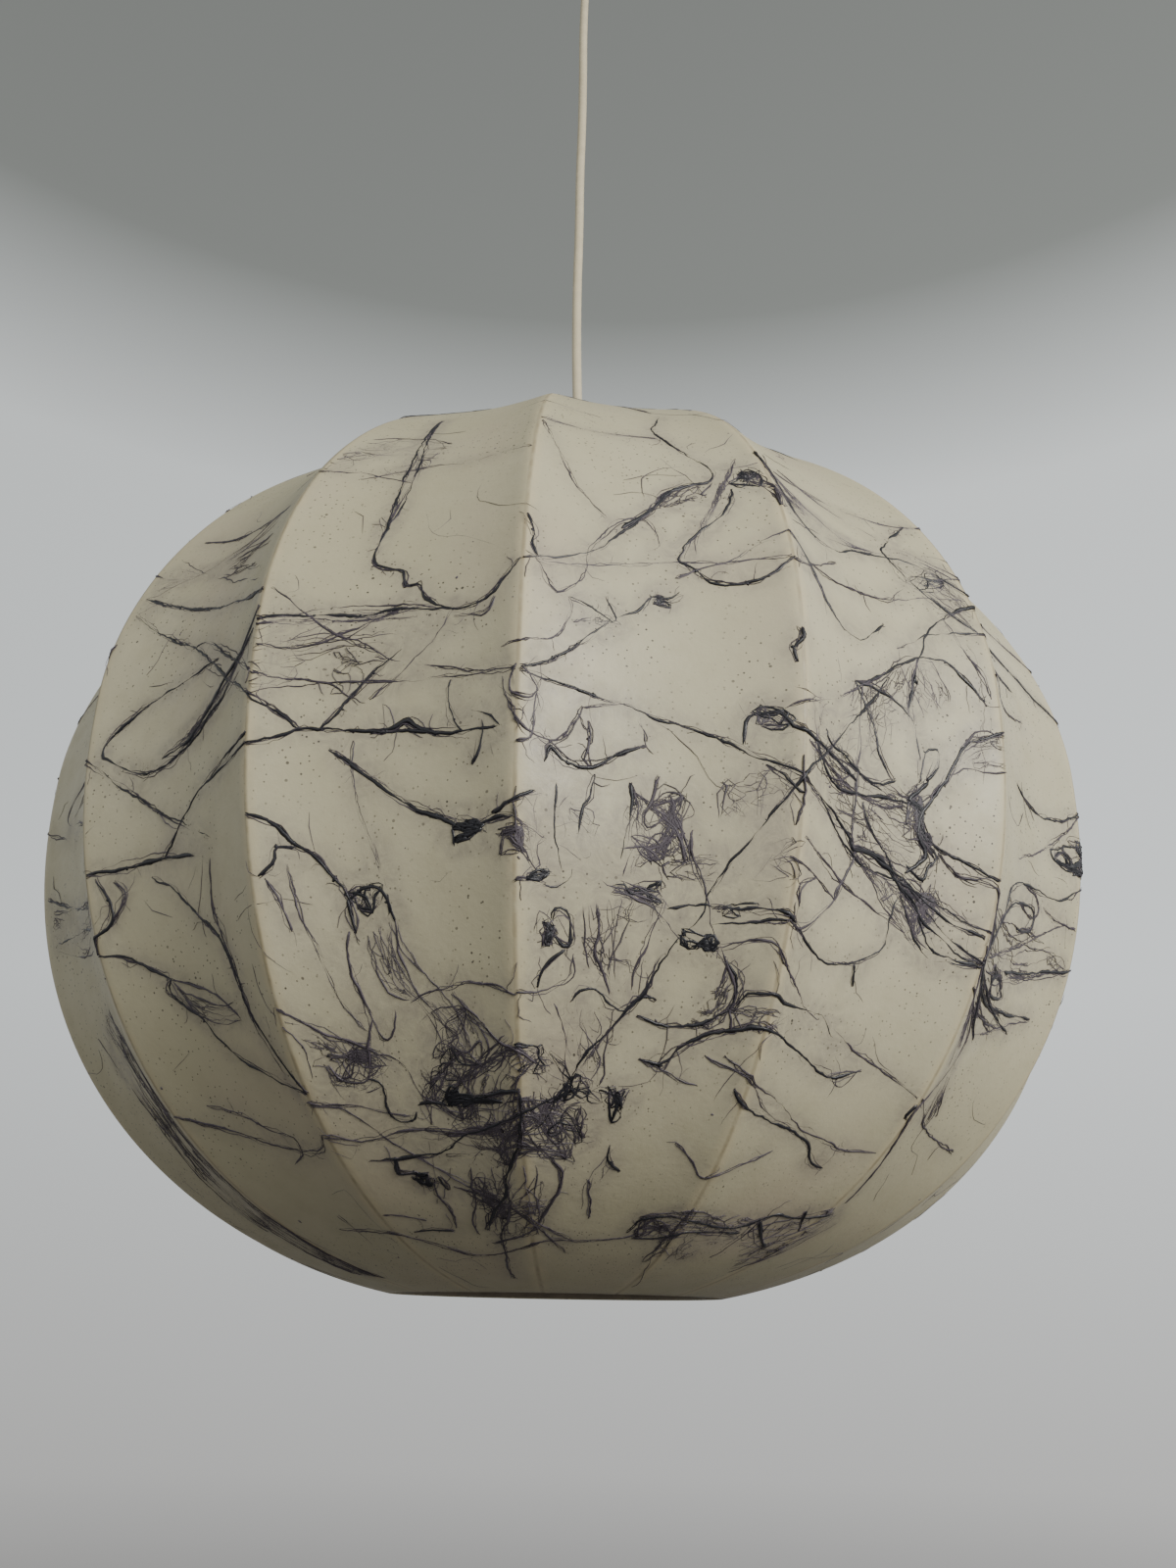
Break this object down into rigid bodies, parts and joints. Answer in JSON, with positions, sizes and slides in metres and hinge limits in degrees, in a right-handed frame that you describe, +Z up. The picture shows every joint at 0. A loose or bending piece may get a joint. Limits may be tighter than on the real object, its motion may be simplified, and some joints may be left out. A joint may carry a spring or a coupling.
{
  "type": "pendant lamp",
  "caption": "Hanging lamp: round cage of upright wire ribs under a thin translucent resin skin with dark fibres, on a cord from a ceiling cup.",
  "frame": {"origin": "middle of the ceiling bar's top face, which lies on the ceiling", "axes": "+Z up, -Y towards the front, +X to the right seen from the front"},
  "size_m": [0.5002, 0.5002, 1.0651],
  "materials": {
    "zinc": "zinc-plated steel",
    "white_enamel": "smooth off-white enamel",
    "white_plastic": "off-white moulded plastic",
    "cord": "smooth cream sheath",
    "core_brown": "brown core insulation",
    "core_blue": "blue core insulation",
    "clear_plastic": "milky terminal block",
    "porcelain": "glazed white insulator",
    "brass": "bright contact brass",
    "nickel": "plated lamp cap",
    "cream_wire": "cream-lacquered steel wire",
    "dark_wire": "darkened steel wire",
    "resin_skin": "thin translucent sprayed resin with dark fibres in it",
    "bulb_glass": "frosted glass",
    "black_glass": "black vitrite insulator"
  },
  "bodies": {
    "ceiling": {"ceiling_bar": "zinc", "ceiling_cup": "white_enamel", "cup_screws": "zinc", "cord_grip": "white_plastic", "grip_nut": "zinc", "cord_tail": "cord", "core_brown": "core_brown", "core_blue": "core_blue", "terminal_block": "clear_plastic", "terminal_screws": "zinc"},
    "flex_bush": {"outlet_bush": "white_plastic"},
    "pendant": {"supply_cord": "cord", "holder_cord_grip": "white_plastic", "holder_grip_screw": "white_plastic", "holder_cap": "white_plastic", "holder_body": "white_plastic", "holder_core": "porcelain", "screw_shell": "brass", "centre_contact": "brass", "holder_terminal_screws": "zinc", "holder_core_brown": "core_brown", "holder_core_blue": "core_blue", "gallery_spider": "cream_wire", "top_ring": "cream_wire", "bottom_ring": "dark_wire", "rib_01": "cream_wire", "rib_02": "cream_wire", "rib_03": "cream_wire", "rib_04": "cream_wire", "rib_05": "cream_wire", "rib_06": "cream_wire", "rib_07": "cream_wire", "rib_08": "cream_wire", "rib_09": "cream_wire", "rib_10": "cream_wire", "rib_11": "cream_wire", "rib_12": "cream_wire", "rib_13": "cream_wire", "rib_14": "cream_wire", "rib_15": "cream_wire", "rib_16": "cream_wire", "shade_skin": "resin_skin"},
    "shade_washer": {"gallery_washer": "zinc"},
    "shade_nut": {"shade_ring": "white_plastic"},
    "bulb_follower": {"bulb_contact": "nickel"},
    "bulb": {"bulb_glass": "bulb_glass", "bulb_cap": "nickel", "bulb_insulator": "black_glass"}
  },
  "joints": [
    {"name": "swing_x", "type": "hinge", "parent": "ceiling", "child": "flex_bush", "pos_m": [0, 0, -0.065], "axis": [1, 0, 0], "range_deg": [-20, 20]},
    {"name": "swing_y", "type": "hinge", "parent": "flex_bush", "child": "pendant", "pos_m": [0, 0, -0.065], "axis": [0, 1, 0], "range_deg": [-20, 20]},
    {"name": "nut_travel", "type": "slide", "parent": "pendant", "child": "shade_washer", "axis": [0, 0, -1], "range_m": [0, 0.025]},
    {"name": "nut_turn", "type": "hinge", "parent": "shade_washer", "child": "shade_nut", "pos_m": [0, 0, -0.635], "axis": [0, 0, -1], "range_deg": [0, 3602]},
    {"name": "bulb_travel", "type": "slide", "parent": "pendant", "child": "bulb_follower", "axis": [0, 0, -1], "range_m": [0, 0.0216]},
    {"name": "bulb_turn", "type": "hinge", "parent": "bulb_follower", "child": "bulb", "pos_m": [0, 0, -0.64], "axis": [0, 0, -1], "range_deg": [0, 2162]}
  ],
  "couplings": [
    {"joint": "nut_turn", "follows": "nut_travel", "rad_per_m": 2513.3},
    {"joint": "bulb_turn", "follows": "bulb_travel", "rad_per_m": 1745.3}
  ]
}
